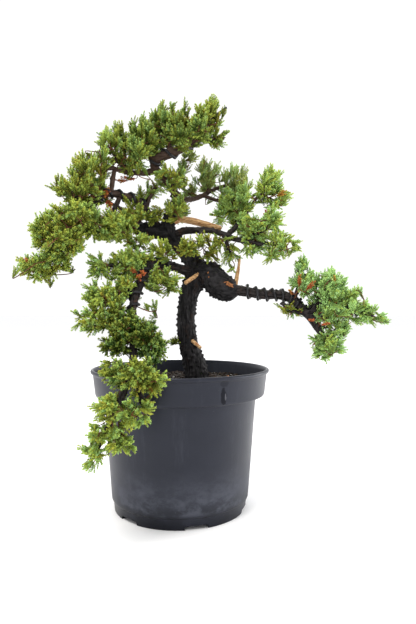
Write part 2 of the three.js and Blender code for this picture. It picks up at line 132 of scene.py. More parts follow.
def cad_copy(node, name):
    """A welded copy of a CAD node's mesh."""
    shape = bmesh.new()
    shape.from_mesh(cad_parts[node].data)
    bmesh.ops.remove_doubles(shape, verts=shape.verts, dist=0.01 * MM)
    return mesh_from(shape, name)


def applied(piece):
    """The piece with its modifiers applied."""
    graph = bpy.context.evaluated_depsgraph_get()
    mesh = bpy.data.meshes.new_from_object(piece.evaluated_get(graph))
    old = piece.data
    piece.modifiers.clear()
    piece.data = mesh
    mesh.name = piece.name
    bpy.data.meshes.remove(old)
    return piece


def remeshed(mesh, voxel):
    piece = new_object(mesh)
    change = piece.modifiers.new("voxels", "REMESH")
    change.mode = "VOXEL"
    change.voxel_size = voxel
    return applied(piece)


def finish_piece(piece, material, nodes=()):
    """Gives a piece its finish, hangs it from the root and hides the CAD nodes that it stands for."""
    piece.data.materials.clear()
    piece.data.materials.append(material)
    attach(piece, "root")
    if nodes:
        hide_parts(*nodes)
    return piece


# ---- Numbers ----


def unit(v):
    return v / np.maximum(np.linalg.norm(v, axis=-1, keepdims=True), 1e-12)


def lattice(cells, seed):
    """A random number from 0 to 1 for each whole-numbered cell."""
    x, y, z = cells.astype(np.int64).T
    h = (x * 73856093) ^ (y * 19349663) ^ (z * 83492791) ^ (seed * 265443577)
    h = ((h ^ (h >> 13)) * 1274126177) & 0xFFFFFFFF
    return ((h ^ (h >> 16)) & 0xFFFFFF) / 0xFFFFFF


def noise_at(points, size, seed):
    """Smooth value noise from 0 to 1, with cells of the given size."""
    cell = np.floor(points / size)
    part = points / size - cell
    part = part * part * (3 - 2 * part)
    total = np.zeros(len(points))
    for corner in itertools.product((0, 1), repeat=3):
        weight = np.where(np.array(corner) == 1, part, 1 - part).prod(axis=1)
        total += weight * lattice(cell + corner, seed)
    return total


def spread(values, edges, weights=None):
    """Each vertex's mean over the vertices that it shares an edge with."""
    a, b = edges.T
    count = len(values)
    weights = np.ones(len(edges)) if weights is None else weights
    held = np.bincount(a, weights, count) + np.bincount(b, weights, count)
    columns = values.reshape(count, -1).T
    sums = [
        np.bincount(a, weights * c[b], count) + np.bincount(b, weights * c[a], count) for c in columns
    ]
    return (np.stack(sums, 1) / np.maximum(held, 1e-12)[:, None]).reshape(values.shape)


def smoothed(values, edges, rounds, share=0.6, weights=None):
    for _ in range(rounds):
        values = values + share * (spread(values, edges, weights) - values)
    return values


def spaced(points, gap):
    """Indices of points, in their order, that keep a gap to those chosen before them."""
    grid, chosen = {}, []
    cells = np.floor(points / gap).astype(int)
    around = list(itertools.product((-1, 0, 1), repeat=3))
    for index, (point, cell) in enumerate(zip(points, cells)):
        near = [j for step in around for j in grid.get(tuple(cell + step), ())]
        if near and (((points[near] - point) ** 2).sum(axis=1) < gap * gap).any():
            continue
        grid.setdefault(tuple(cell), []).append(index)
        chosen.append(index)
    return chosen


def turn_about_z(angle):
    """The turn that rows of places are multiplied by."""
    c, s = math.cos(angle), math.sin(angle)
    return np.array([[c, s, 0], [-s, c, 0], [0, 0, 1]])


# ---- CAD nodes as solids ----


def node_arrays(node):
    """The vertices and triangles of a CAD node."""
    mesh = cad_copy(node, node + "_room")
    mesh.calc_loop_triangles()
    shape = read_verts(mesh), read_rows(mesh.loop_triangles, "vertices", 3, np.int32)
    bpy.data.meshes.remove(mesh)
    return shape


class Solid:
    """A closed mesh that answers how deep a place lies in it."""

    def __init__(self, node):
        self.verts, self.faces = node_arrays(node)
        self.tree = BVHTree.FromPolygons(self.verts.tolist(), self.faces.tolist())

    def depth(self, place):
        """How deep a place lies under the surface, below 0 outside."""
        near, normal, _, away = self.tree.find_nearest(Vector(place))
        return away if (Vector(place) - near).dot(normal) < 0 else -away

    def way_out(self, place):
        """The way to the nearest place on the surface, from inside."""
        near = np.array(self.tree.find_nearest(Vector(place))[0])
        return unit(near - place)


def surface_points(verts, faces, gap, rng, spare):
    """Random points on a mesh, a spare number for each patch as wide as the gap, with their normals."""
    a, b, c = (verts[faces[:, k]] for k in range(3))
    cross = np.cross(b - a, c - a)
    area = np.linalg.norm(cross, axis=1) / 2
    count = int(area.sum() / gap**2 * spare)
    picks = rng.choice(len(faces), count, p=area / area.sum())
    u, v = rng.uniform(0, 1, (2, count))
    u, v = np.where(u + v > 1, 1 - u, u), np.where(u + v > 1, 1 - v, v)
    places = a[picks] + u[:, None] * (b - a)[picks] + v[:, None] * (c - a)[picks]
    return places, unit(cross[picks])


# ---- Materials ----


class Finish:
    """A procedural material, built node by node."""

    def __init__(self, name, roughness=0.6, metallic=0.0, specular=0.5):
        self.material = bpy.data.materials.new(name)
        self.material.use_nodes = True
        self.tree = self.material.node_tree
        self.shader = self.tree.nodes["Principled BSDF"]
        settings = {"Roughness": roughness, "Metallic": metallic, "Specular IOR Level": specular}
        for key, value in settings.items():
            self.shader.inputs[key].default_value = value
        self.place = None

    def node(self, kind, inputs=(), **settings):
        node = self.tree.nodes.new(kind)
        for key, value in settings.items():
            setattr(node, key, value)
        for key, value in dict(inputs).items():
            self.give(node.inputs[key], value)
        return node

    def give(self, socket, value):
        if isinstance(value, bpy.types.NodeSocket):
            self.tree.links.new(value, socket)
        else:
            socket.default_value = value

    def coordinates(self, stretch=(1, 1, 1)):
        """The place on the object, in metres, stretched."""
        if self.place is None:
            self.place = self.node("ShaderNodeTexCoord").outputs["Object"]
        if stretch == (1, 1, 1):
            return self.place
        return self.node("ShaderNodeMapping", {"Vector": self.place, "Scale": stretch}).outputs[0]

    def noise(self, scale, detail=4.0, roughness=0.55, stretch=(1, 1, 1)):
        inputs = {"Scale": scale, "Detail": detail, "Roughness": roughness}
        inputs["Vector"] = self.coordinates(stretch)
        return self.node("ShaderNodeTexNoise", inputs).outputs["Fac"]

    def layer(self, name):
        return self.node("ShaderNodeAttribute", attribute_name=name).outputs["Fac"]

    def height(self):
        return self.node("ShaderNodeSeparateXYZ", {"Vector": self.coordinates()}).outputs["Z"]

    def range(self, value, low, high, to_low=0.0, to_high=1.0, smooth=True):
        inputs = {"Value": value, "From Min": low, "From Max": high, "To Min": to_low, "To Max": to_high}
        kind = "SMOOTHSTEP" if smooth else "LINEAR"
        return self.node("ShaderNodeMapRange", inputs, interpolation_type=kind).outputs[0]

    def ramp(self, value, stops):
        node = self.node("ShaderNodeValToRGB", {"Fac": value})
        points = node.color_ramp.elements
        while len(points) < len(stops):
            points.new(0.5)
        for point, (at, colour) in zip(points, stops):
            point.position = at
            point.color = (*colour, 1)
        return node.outputs["Color"]

    def mix(self, share, a, b):
        node = self.node("ShaderNodeMix", data_type="RGBA")
        self.give(node.inputs["Factor"], share)
        self.give(node.inputs["A"], a if isinstance(a, bpy.types.NodeSocket) else (*a, 1))
        self.give(node.inputs["B"], b if isinstance(b, bpy.types.NodeSocket) else (*b, 1))
        return node.outputs["Result"]

    def math(self, operation, a, b):
        return self.node("ShaderNodeMath", {0: a, 1: b}, operation=operation).outputs[0]

    def times(self, a, b):
        return self.math("MULTIPLY", a, b)

    def blot(self, centre, radii, ragged, rough):
        """How far a place is from the centre of a ragged ellipsoid, 1 at its surface."""
        away = self.coordinates()
        for operation, by in (("SUBTRACT", centre), ("DIVIDE", radii)):
            away = self.node("ShaderNodeVectorMath", {0: away, 1: by}, operation=operation).outputs[0]
        far = self.node("ShaderNodeVectorMath", {0: away}, operation="LENGTH").outputs["Value"]
        return self.math("ADD", far, self.range(self.noise(ragged, 4), 0.2, 0.8, -rough, rough, False))

    def colour(self, value):
        self.give(self.shader.inputs["Base Color"], value)

    def rough(self, value):
        self.give(self.shader.inputs["Roughness"], value)

    def bump(self, height, depth, strength=1.0):
        inputs = {"Height": height, "Distance": depth, "Strength": strength}
        self.give(self.shader.inputs["Normal"], self.node("ShaderNodeBump", inputs).outputs[0])


# The colour of dust and scuffs on the pot
DUST = (0.075, 0.080, 0.100)


def pot_finish():
    """Dark charcoal plastic: dusty and scuffed near the foot, with painted shade darkening the foot, and a
    nick with a painted highlight beside it and a smear on the band.
    """
    f = Finish("moulded_plastic", roughness=0.4)
    f.shader.inputs["Specular Tint"].default_value = (0.80, 0.85, 1.0, 1)
    cloudy = f.noise(14, 5, 0.6, (1, 1, 1.4))
    fine = f.noise(420, 3, 0.6)
    scuffs = f.noise(38, 6, 0.7, (1, 1, 1.6))
    base = f.ramp(cloudy, [(0.3, (0.0070, 0.0075, 0.0120)), (0.7, (0.0130, 0.0140, 0.0210))])
    low_down = f.times(f.range(f.height(), 0.062, 0.026), f.range(f.height(), 0.0125, 0.0165))
    dust = f.times(low_down, f.range(scuffs, 0.36, 0.66, 0.25, 1.0))
    base = f.mix(f.times(dust, 0.62), base, DUST)
    worn = f.range(f.noise(60, 5, 0.7, (1, 1, 0.16)), 0.52, 0.72, 0.0, 0.16)
    base = f.mix(worn, base, DUST)
    # Painted shade, partly scuffs: darker towards the foot, where shade falls, in patches that follow the
    # scuffs.
    foot_shade_and_scuffs = f.times(f.range(f.height(), 0.034, 0.012), f.range(scuffs, 0.62, 0.44))
    base = f.mix(f.times(foot_shade_and_scuffs, 0.75), base, (0.0035, 0.0035, 0.0050))
    specks = f.times(f.range(fine, 0.72, 0.77), 0.3)
    base = f.mix(specks, base, (0.16, 0.16, 0.17))
    smear = f.range(f.blot(*SMEAR, 170, 0.55), 1.15, 0.85)
    nick = f.range(f.blot(*NICK, 170, 0.55), 1.15, 0.85)
    marks = f.math("MAXIMUM", f.times(smear, 0.35), f.times(nick, 0.6))
    base = f.mix(marks, base, (0.0015, 0.0015, 0.002))
    # Painted highlight: a pale strip beside the nick, where light catches its edge.
    edge = f.range(f.blot(*NICK_HIGHLIGHT, 300, 0.3), 1.1, 0.7)
    f.colour(f.mix(f.times(edge, 0.6), base, (0.13, 0.13, 0.15)))
    shine = f.times(f.range(marks, 0, 1, 0.37, 0.03), f.range(f.height(), 0.0, 0.016, 0.55, 1.0))
    f.give(f.shader.inputs["Specular IOR Level"], shine)
    f.rough(f.math("ADD", f.range(cloudy, 0.3, 0.7, 0.34, 0.44), f.times(dust, 0.2)))
    f.bump(f.math("ADD", fine, f.times(scuffs, 0.5)), 0.00012, 0.5)
    return f.material


def grained_finish(name, roughness, grain, stops, bumps):
    """A colour that wanders between a few, over bumps of a scale, detail and depth."""
    f = Finish(name, roughness=roughness, specular=0.3)
    f.colour(f.ramp(f.noise(*grain), stops))
    scale, detail, depth, strength = bumps
    f.bump(f.noise(scale, detail), depth, strength)
    return f.material


def soil_finish():
    """Damp, dark potting mix."""
    stops = [(0.35, (0.008, 0.006, 0.005)), (0.7, (0.040, 0.028, 0.020))]
    return grained_finish("potting_mix", 0.9, (260, 5, 0.7), stops, (900, 3, 0.0004, 0.6))


def litter_finish(name, dark, light):
    """Chips, grains and leaves that lie on the soil, and torn bark."""
    return grained_finish(name, 0.8, (380, 4), [(0.35, dark), (0.65, light)], (1200, 3, 0.0002, 0.5))


def twig_finish():
    """Young wood: reddish brown to orange."""
    stops = [(0.25, (0.030, 0.014, 0.007)), (0.5, (0.110, 0.042, 0.015)), (0.85, (0.34, 0.125, 0.036))]
    return grained_finish("twig_bark", 0.7, (120, 5, 0.7), stops, (1500, 3, 0.0002, 0.6))


def bark_finish(name, dark, light, warm):
    """Near-black bark: paler on its ridges, with brown patches, and browner on the young wood above."""
    f = Finish(name, roughness=0.8, specular=0.2)
    ridge = f.layer("ridge")
    base = f.ramp(ridge, [(0.25, dark), (0.75, light)])
    patches = f.range(f.noise(90, 5, 0.65), 0.55, 0.72)
    base = f.mix(f.times(patches, 0.6), base, warm)
    flecks = f.range(f.noise(700, 4, 0.7), 0.62, 0.8)
    base = f.mix(f.times(flecks, 0.35), base, light)
    young = f.times(f.range(f.height(), 0.305, 0.340), f.range(ridge, 0.1, 0.6, 0.35, 0.9))
    f.colour(f.mix(f.times(young, 0.8), base, (0.075, 0.043, 0.028)))
    f.rough(f.range(ridge, 0.2, 0.8, 0.85, 0.6))
    f.bump(f.noise(1100, 4, 0.7), 0.0003, 0.7)
    return f.material


def dead_wood_finish():
    """Dry bare wood, pale orange-brown with darker grain."""
    f = Finish("dead_wood", roughness=0.7, specular=0.3)
    stops = [(0.2, (0.20, 0.085, 0.03)), (0.55, (0.52, 0.30, 0.13)), (0.85, (0.72, 0.50, 0.27))]
    base = f.ramp(f.layer("ridge"), stops)
    patches = f.range(f.noise(140, 4, 0.6), 0.52, 0.72)
    f.colour(f.mix(f.times(patches, 0.7), base, (0.36, 0.12, 0.04)))
    f.bump(f.noise(900, 4, 0.6), 0.0002, 0.6)
    return f.material


def wire_finish():
    """Dark anodised aluminium."""
    f = Finish("anodised_wire", roughness=0.34, metallic=0.55, specular=0.6)
    f.colour(f.ramp(f.noise(160, 4), [(0.3, (0.010, 0.009, 0.010)), (0.75, (0.028, 0.027, 0.032))]))
    f.rough(f.range(f.noise(500, 4, 0.65), 0.3, 0.7, 0.26, 0.5))
    f.bump(f.noise(1400, 3), 0.00006, 0.4)
    return f.material


# Colour of a needle by its kind, from dead through olive and green to mint, in shade and in light
SHADE_COLOURS = [
    (0.00, (0.240, 0.045, 0.014)), (0.14, (0.100, 0.045, 0.005)), (0.28, (0.038, 0.036, 0.002)),
    (0.48, (0.024, 0.044, 0.002)), (0.70, (0.017, 0.058, 0.009)), (1.00, (0.040, 0.125, 0.035)),
]
LIGHT_COLOURS = [
    (0.00, (0.780, 0.210, 0.090)), (0.14, (0.640, 0.330, 0.060)), (0.28, (0.600, 0.560, 0.078)),
    (0.48, (0.560, 0.680, 0.106)), (0.70, (0.470, 0.750, 0.220)), (1.00, (0.600, 0.920, 0.420)),
]


def needle_finish(name, tint=(1, 1, 1), share=0.0):
    """Needles: the layer kind and the painted light layer place each point between the shaded and lit colours
    above.
    """
    f = Finish(name, roughness=0.6, specular=0.06)
    kind = f.layer("kind")
    base = f.mix(f.layer("light"), f.ramp(kind, SHADE_COLOURS), f.ramp(kind, LIGHT_COLOURS))
    if share:
        base = f.mix(share, base, tint)
    f.colour(base)
    return f.material


# ---- Pot ----

POT_LOW, POT_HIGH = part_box("pot")
RIM = POT_HIGH[0]
HEIGHT = POT_HIGH[2]
WALL = 1.8 * MM
BAND_TOP = RIM - 2.5 * MM
BAND_FOOT = RIM - 5 * MM
BAND_FOOT_Z = 120.5 * MM
BODY_TOP = 81 * MM
BODY_FOOT = 73 * MM
BODY_FOOT_Z = 16 * MM
BASE = 70 * MM
FLOOR = 4.5 * MM
FOOT_RING = 7 * MM
CENTRE_FOOT = 20 * MM
FOOT_SLOTS = 6
FIRST_SLOT = math.radians(46)
SLOT_WIDTH = 24 * MM
SLOT_HEIGHT = 4 * MM
DRAIN_HOLE = 4.5 * MM
DRAIN_CIRCLE = 50 * MM
HOLE_SIDES = 24
POT_SEGMENTS = 192
# Marks on the band, and a painted highlight beside the nick: centre and radii
SMEAR = ((0.0452, -0.0805, 0.1412), (0.0046, 0.006, 0.0026))
NICK = ((0.0448, -0.0795, 0.1290), (0.0026, 0.006, 0.0074))
NICK_HIGHLIGHT = ((0.0462, -0.0790, 0.1285), (0.0007, 0.006, 0.0036))


def rounded(corners, steps=4):
    """An outline of radius, z and fillet in mm, with each corner rounded by its fillet."""
    outline = []
    for index, (r, z, fillet) in enumerate(corners):
        here = np.array([r, z])
        if not fillet or index in (0, len(corners) - 1):
            outline.append(here)
            continue
        ends = []
        for other in (corners[index - 1], corners[index + 1]):
            way = np.array(other[:2]) - here
            ends.append(here + way * min(fillet * MM / np.linalg.norm(way), 0.5))
        for step in range(steps + 1):
            t = step / steps
            outline.append((1 - t) ** 2 * ends[0] + 2 * t * (1 - t) * here + t * t * ends[1])
    return outline


def lathe(name, outline, segments):
    """A closed mesh of revolution from an outline that starts and ends on the axis."""
    shape = bmesh.new()
    rings = []
    for radius, z in outline:
        if radius < 1e-7:
            rings.append([shape.verts.new((0, 0, z))])
            continue
        angles = [2 * math.pi * i / segments for i in range(segments)]
        rings.append([shape.verts.new((radius * math.cos(a), radius * math.sin(a), z)) for a in angles])
    for low, high in zip(rings, rings[1:]):
        for i in range(segments):
            j = (i + 1) % segments
            if len(low) == 1:
                shape.faces.new((low[0], high[j], high[i]))
            elif len(high) == 1:
                shape.faces.new((low[i], low[j], high[0]))
            else:
                shape.faces.new((low[i], low[j], high[j], high[i]))
    return mesh_from(shape, name)


def pot_outline():
    return rounded([
        (0, 0, 0), (CENTRE_FOOT, 0, 0.6), (CENTRE_FOOT + 3 * MM, FLOOR, 1.5),
        (BASE - FOOT_RING - MM, FLOOR, 1.2), (BASE - FOOT_RING, 0, 0.6), (BASE, 0, 1.2),
        (BASE + MM, 11.5 * MM, 0.5), (BODY_FOOT - 0.3 * MM, 12.6 * MM, 0.5),
        (BODY_FOOT, BODY_FOOT_Z, 0), (BODY_FOOT + 0.5 * MM, 22 * MM, 0),
        (BODY_TOP, BAND_FOOT_Z - 1.6 * MM, 1.6), (BAND_FOOT - 0.6 * MM, BAND_FOOT_Z - 0.4 * MM, 1.2),
        (BAND_FOOT + 0.3 * MM, BAND_FOOT_Z + 2.5 * MM, 1.0),
        (BAND_TOP, HEIGHT - 5.2 * MM, 1.2), (RIM - 0.3 * MM, HEIGHT - 3.6 * MM, 1.0),
        (RIM, HEIGHT - 1.6 * MM, 1.2), (RIM - 1.5 * MM, HEIGHT, 1.3),
        (RIM - 3 * MM, HEIGHT - 0.4 * MM, 0.9), (BAND_TOP - WALL, HEIGHT - 3.5 * MM, 1.5),
        (BAND_FOOT - WALL, BAND_FOOT_Z + WALL, 1.0), (BODY_TOP - WALL, BAND_FOOT_Z + 0.3 * MM, 1.5),
        (BODY_FOOT - WALL, BODY_FOOT_Z, 1.5), (BASE - WALL - MM, FLOOR + WALL, 1.5), (0, FLOOR + WALL, 0),
    ])


def prism(shape, ends):
    """A closed prism between two outlines, added to a bmesh."""
    low, high = [[shape.verts.new(place) for place in end] for end in ends]
    shape.faces.new(low)
    shape.faces.new(reversed(high))
    for a in range(len(low)):
        b = (a + 1) % len(low)
        shape.faces.new((low[a], high[a], high[b], low[b]))


def foot_cutters():
    """Slots through the foot ring and drain holes through the floor."""
    shape = bmesh.new()
    slot = [(-0.5, -2 * MM), (0.5, -2 * MM), (0.49, 0.6 * SLOT_HEIGHT)]
    slot += [(0.44, SLOT_HEIGHT), (-0.44, SLOT_HEIGHT), (-0.49, 0.6 * SLOT_HEIGHT)]
    circle = [2 * math.pi * k / HOLE_SIDES for k in range(HOLE_SIDES)]
    for index in range(FOOT_SLOTS):
        angle = 2 * math.pi * index / FOOT_SLOTS + FIRST_SLOT
        turn = Vector((math.cos(angle), math.sin(angle), 0))
        side = Vector((-math.sin(angle), math.cos(angle), 0))
        ends = []
        for reach in (BASE - FOOT_RING - 4 * MM, BASE + 6 * MM):
            ends.append([turn * reach + side * (s * SLOT_WIDTH) + Vector((0, 0, z)) for s, z in slot])
        prism(shape, ends)
        ends = []
        for z in (FLOOR - 3 * MM, FLOOR + 6 * MM):
            centre = turn * DRAIN_CIRCLE + Vector((0, 0, z))
            ends.append([centre + DRAIN_HOLE * (turn * math.cos(s) + side * math.sin(s)) for s in circle])
        prism(shape, ends)
    return new_object(mesh_from(shape, "cutters"))


def make_pot():
    piece = new_object(lathe("nursery_container", pot_outline(), POT_SEGMENTS))
    cutters = foot_cutters()
    cut = piece.modifiers.new("cut", "BOOLEAN")
    cut.operation = "DIFFERENCE"
    cut.object = cutters
    cut.solver = "EXACT"
    applied(piece)
    bpy.data.objects.remove(cutters)
    # Thin plastic is never quite round: the rim wavers by a fraction of a millimetre.
    verts = read_verts(piece.data)
    angle = np.arctan2(verts[:, 1], verts[:, 0])
    share = (verts[:, 2] / HEIGHT).clip(0, 1) ** 2
    waver = 0.35 * MM * np.sin(2 * angle + 0.8) + 0.15 * MM * np.sin(5 * angle + 2.1)
    verts[:, :2] *= 1 + (share * waver / RIM)[:, None]
    write_verts(piece.data, verts)
    smooth_shading(piece.data, 32)
    finish_piece(piece, pot_finish(), ["pot"])


# ---- Soil ----

SOIL_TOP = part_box("soil")[1][2]
SOIL_RIM = SOIL_TOP - 2 * MM
SOIL_RINGS = 56
SOIL_SEGMENTS = 176
# Distances from the axis between which the soil falls away towards the wall
SOIL_FALL = (40 * MM, 88 * MM)
# Where the trunk leaves the soil, and how wide it is there
TRUNK_X = 0.018
TRUNK_RADIUS = 0.013
# How far from the axis grains lie
STREWN = 84 * MM
CHIPS = 1500
PEARLS = 26


def soil_height(places):
    """How high the soil lies over a place, by its distance from the axis and its lumps."""
    radius = np.linalg.norm(places[:, :2], axis=1)
    flat = np.column_stack([places[:, :2], np.zeros(len(places))])
    lumps = noise_at(flat, 9 * MM, 3) * 1.6 + noise_at(flat, 3.5 * MM, 4) * 1.3
    lumps += noise_at(flat, 1.6 * MM, 5) * 0.8
    fall = np.interp(radius, SOIL_FALL, [0.0, 1.0])
    return SOIL_TOP - 2.4 * MM - fall * 1.4 * MM + (lumps - 1.0) * MM


def soil_body():
    low = 6.7 * MM
    side = WALL + 0.4 * MM
    shelf = BAND_FOOT_Z + WALL + 0.4 * MM
    outline = [(0, low), (BASE - side - 1.4 * MM, low), (BODY_FOOT - side - 0.2 * MM, BODY_FOOT_Z)]
    outline += [(BODY_TOP - side - 0.2 * MM, shelf), (BAND_FOOT - side, shelf + 0.3 * MM)]
    edge = BAND_FOOT - side + 0.4 * MM
    outline += [(edge, SOIL_RIM - 2.5 * MM)]
    outline += [(edge * (1 - ring / SOIL_RINGS), SOIL_RIM) for ring in range(SOIL_RINGS)]
    mesh = lathe("potting_mix", outline + [(0, SOIL_RIM)], SOIL_SEGMENTS)
    verts = read_verts(mesh)
    top = verts[:, 2] > SOIL_RIM - 0.1 * MM
    verts[top, 2] = soil_height(verts[top])
    write_verts(mesh, verts)
    return smooth_shading(mesh)


def lump(rng, size, flat):
    """A small irregular closed grain."""
    shape = bmesh.new()
    bmesh.ops.create_icosphere(shape, subdivisions=1, radius=1.0)
    verts = np.array([v.co[:] for v in shape.verts])
    faces = np.array([[v.index for v in f.verts] for f in shape.faces])
    shape.free()
    verts *= rng.uniform(0.7, 1.25, (len(verts), 1))
    verts *= size * np.array([1.0, rng.uniform(0.5, 0.9), flat])
    return verts @ turn_about_z(rng.uniform(0, 2 * math.pi)), faces


def scatter(name, rng, count, sizes, flat, keep, sink=0.3):
    """Grains lying on the soil where keep says so."""
    grains = []
    while len(grains) < count:
        radius, angle = STREWN * math.sqrt(rng.uniform()), rng.uniform(0, 2 * math.pi)
        place = np.array([[radius * math.cos(angle), radius * math.sin(angle), 0.0]])
        if not keep(place[0]):
            continue
        size = rng.uniform(*sizes) * MM
        verts, faces = lump(rng, size, rng.uniform(*flat))
        tilt = rng.normal(0, 0.25, 2)
        verts[:, 2] += verts[:, :2] @ tilt
        place[0, 2] = soil_height(place)[0] + size * (0.5 - sink)
        grains.append((verts + place, faces))
    return joined(name, grains)


def off_trunk(place):
    return math.hypot(place[0] - TRUNK_X, place[1]) > TRUNK_RADIUS


def leaf_blade(length, width, curl):
    """A thin closed leaf blade, curled along its length."""
    steps = 9
    verts, faces = [], []
    for step in range(steps):
        t = step / (steps - 1)
        half = 0.5 * width * math.sin(math.pi * min(max(t, 0.04), 0.96)) ** 0.8
        x, z = length * (t - 0.5), curl * (math.cos(math.pi * (t - 0.5)) + 0.2 * math.sin(7 * t))
        line = [(-half, 0.25 * half), (0, 0), (half, 0.25 * half)]
        verts += [(x, y, z + rise) for y, rise in line]
        verts += [(x, y, z + rise - 0.25 * MM) for y, rise in reversed(line)]
    for row in range(0, 6 * (steps - 1), 6):
        for k in range(6):
            a, b = row + k, row + (k + 1) % 6
            faces.append((a, b, b + 6, a + 6))
    ends = [(0, 5, 4, 1), (1, 4, 3, 2)]
    faces += ends + [tuple(corner + row + 6 for corner in reversed(end)) for end in ends]
    return np.array(verts), np.array(faces)


# Dry and green leaf bits on the soil: x and y in mm, turn in degrees, size in mm, kind
LEAF_BITS = [
    (36, -78, 20, 7.5, "dry"), (43, -76, 75, 6.0, "dry"), (30, -70, 140, 5.0, "dry"),
    (-2, -79, 10, 6.5, "green"), (-48, 40, 60, 7.0, "dry"), (52, 30, 120, 6.0, "dry"),
    (8, 66, 30, 6.5, "green"), (62, -18, 80, 5.0, "dry"),
]


def make_soil():
    rng = np.random.default_rng(21)
    finish_piece(new_object(soil_body()), soil_finish(), ["soil"])
    chips = scatter("bark_chips", rng, CHIPS, (0.9, 2.6), (0.35, 0.8), off_trunk)
    chip_look = litter_finish("bark_chip", (0.010, 0.007, 0.005), (0.050, 0.030, 0.018))
    finish_piece(new_object(chips), chip_look)

    def pearl_place(place):
        left_front = -0.045 < place[0] < -0.012 and place[1] < -0.06
        return off_trunk(place) and (left_front or rng.uniform() < 0.12)

    pearls = scatter("perlite_grains", rng, PEARLS, (0.8, 1.6), (0.7, 1.0), pearl_place, 0.0)
    pearl_look = litter_finish("perlite", (0.50, 0.49, 0.46), (0.80, 0.79, 0.76))
    finish_piece(new_object(smooth_shading(pearls)), pearl_look)
    looks = {
        "dry": litter_finish("dry_leaf", (0.30, 0.10, 0.03), (0.55, 0.24, 0.08)),
        "green": litter_finish("green_leaf", (0.10, 0.13, 0.02), (0.30, 0.33, 0.06)),
    }
    for kind, look in looks.items():
        bits = []
        for x, y, turn, size, leaf_kind in LEAF_BITS:
            if leaf_kind != kind:
                continue
            blade, sides = leaf_blade(size * MM, 0.42 * size * MM, 0.16 * size * MM)
            at = np.array([[x * MM, y * MM, 0.0]])
            at[0, 2] = soil_height(at)[0] + 1.0 * MM
            bits.append((blade @ turn_about_z(math.radians(turn)) + at, sides))
        finish_piece(new_object(smooth_shading(joined(kind + "_leaf_bits", bits))), look)


# ---- Wood ----

# The heights between which the wood turns from old and thick to young and slender
SLENDER = (0.300, 0.335)
BARK_NODES = [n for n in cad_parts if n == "trunk" or n.endswith("_branch")]
DEAD_NODES = ["dead_snag", "pruned_stub", "dead_twig", "torn_chip"]
WIRE_NODES = [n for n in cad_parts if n.endswith("_wire")]
WIRED = ("crown_branch", "left_branch", "lower_left_branch", "right_branch")
# How much stems are swollen at the foot and at the top
TRUNK_SWELL = (0.6 * MM, -0.6 * MM)
WIRED_SWELL = (1.2 * MM, 1.2 * MM)
BRANCH_SWELL = (0.7 * MM, 0.0)
DEAD_SWELL = (0.35 * MM, 0.35 * MM)
# Knobs on bark: the gap between them, their width and their height
TRUNK_KNOBS = (4.6 * MM, 1.4 * MM, 1.9 * MM)
BRANCH_KNOBS = (5.0 * MM, 1.0 * MM, 0.9 * MM)


def grain_ways(verts, normals, cell):
    """The way the stem runs at each vertex: square to all the normals round it."""
    keys = np.floor(verts / cell).astype(np.int64)
    keys -= keys.min(axis=0) - 1
    shape = keys.max(axis=0) + 2
    flat = np.ravel_multi_index(keys.T, shape)
    outer = normals[:, :, None] * normals[:, None, :]
    sums = np.stack([np.bincount(flat, outer[:, i, j], shape.prod()) for i in range(3) for j in range(3)], 1)
    sums = sums.reshape(*shape, 9)
    for axis in range(3):
        sums = sums + np.roll(sums, 1, axis) + np.roll(sums, -1, axis)
    sums = sums.reshape(-1, 3, 3)
    used, back = np.unique(flat, return_inverse=True)
    ways = np.linalg.eigh(sums[used])[1][:, :, 0]
    return ways[back.ravel()]


def streaks(verts, edges, ways, rounds, seed):
    """Noise drawn out along the grain, from -1 to 1."""
    step = verts[edges[:, 1]] - verts[edges[:, 0]]
    along = np.abs((unit(step) * ways[edges[:, 0]]).sum(axis=1))
    rng = np.random.default_rng(seed)
    values = rng.normal(0, 1, len(verts))
    values = smoothed(values, edges, rounds, 0.8, along**6 + 0.002)
    values = smoothed(values, edges, 1, 0.4)
    return (values / (2.2 * values.std())).clip(-1, 1)


def knobs(verts, gap, width, height, seed):
    """Small bumps, spread at random with a gap."""
    rng = np.random.default_rng(seed)
    order = rng.permutation(len(verts))[:6000]
    centres = verts[order][spaced(verts[order], gap)]
    rise = np.zeros(len(verts))
    for centre, size in zip(centres, rng.uniform(0.3, 1.3, len(centres))):
        far = ((verts - centre) ** 2).sum(axis=1)
        rise = np.maximum(rise, size * height * np.exp(-far / (size * width) ** 2))
    return rise


def grow_wood(node, name, voxel, swell, rounds, depth, knobs_of, seed):
    """A CAD stem made round and rough: swollen, smoothed over some rounds, then given its bark."""
    mesh = cad_copy(node, name)
    verts = read_verts(mesh)
    swelling = np.interp(verts[:, 2], SLENDER, swell)
    write_verts(mesh, verts + swelling[:, None] * read_normals(mesh))
    piece = remeshed(mesh, voxel)
    mesh = piece.data
    edges = read_edges(mesh)
    verts = smoothed(read_verts(mesh), edges, rounds)
    write_verts(mesh, verts)
    normals = read_normals(mesh)
    ways = grain_ways(verts, normals, 5 * MM)
    long_grain = streaks(verts, edges, ways, 26, seed)
    short_grain = streaks(verts, edges, ways, 6, seed + 1)
    lumps = noise_at(verts, 5 * MM, seed + 2) + 0.6 * noise_at(verts, 2.2 * MM, seed + 3) - 0.8
    rise = depth * (0.55 * long_grain + 0.3 * short_grain + 0.9 * lumps)
    if knobs_of:
        rise = rise + knobs(verts, *knobs_of, seed + 4)
    write_verts(mesh, verts + normals * rise[:, None])
    add_layer(mesh, "ridge", (0.5 + 0.35 * long_grain + 0.2 * short_grain).clip(0, 1))
    smooth_shading(mesh)
    return piece


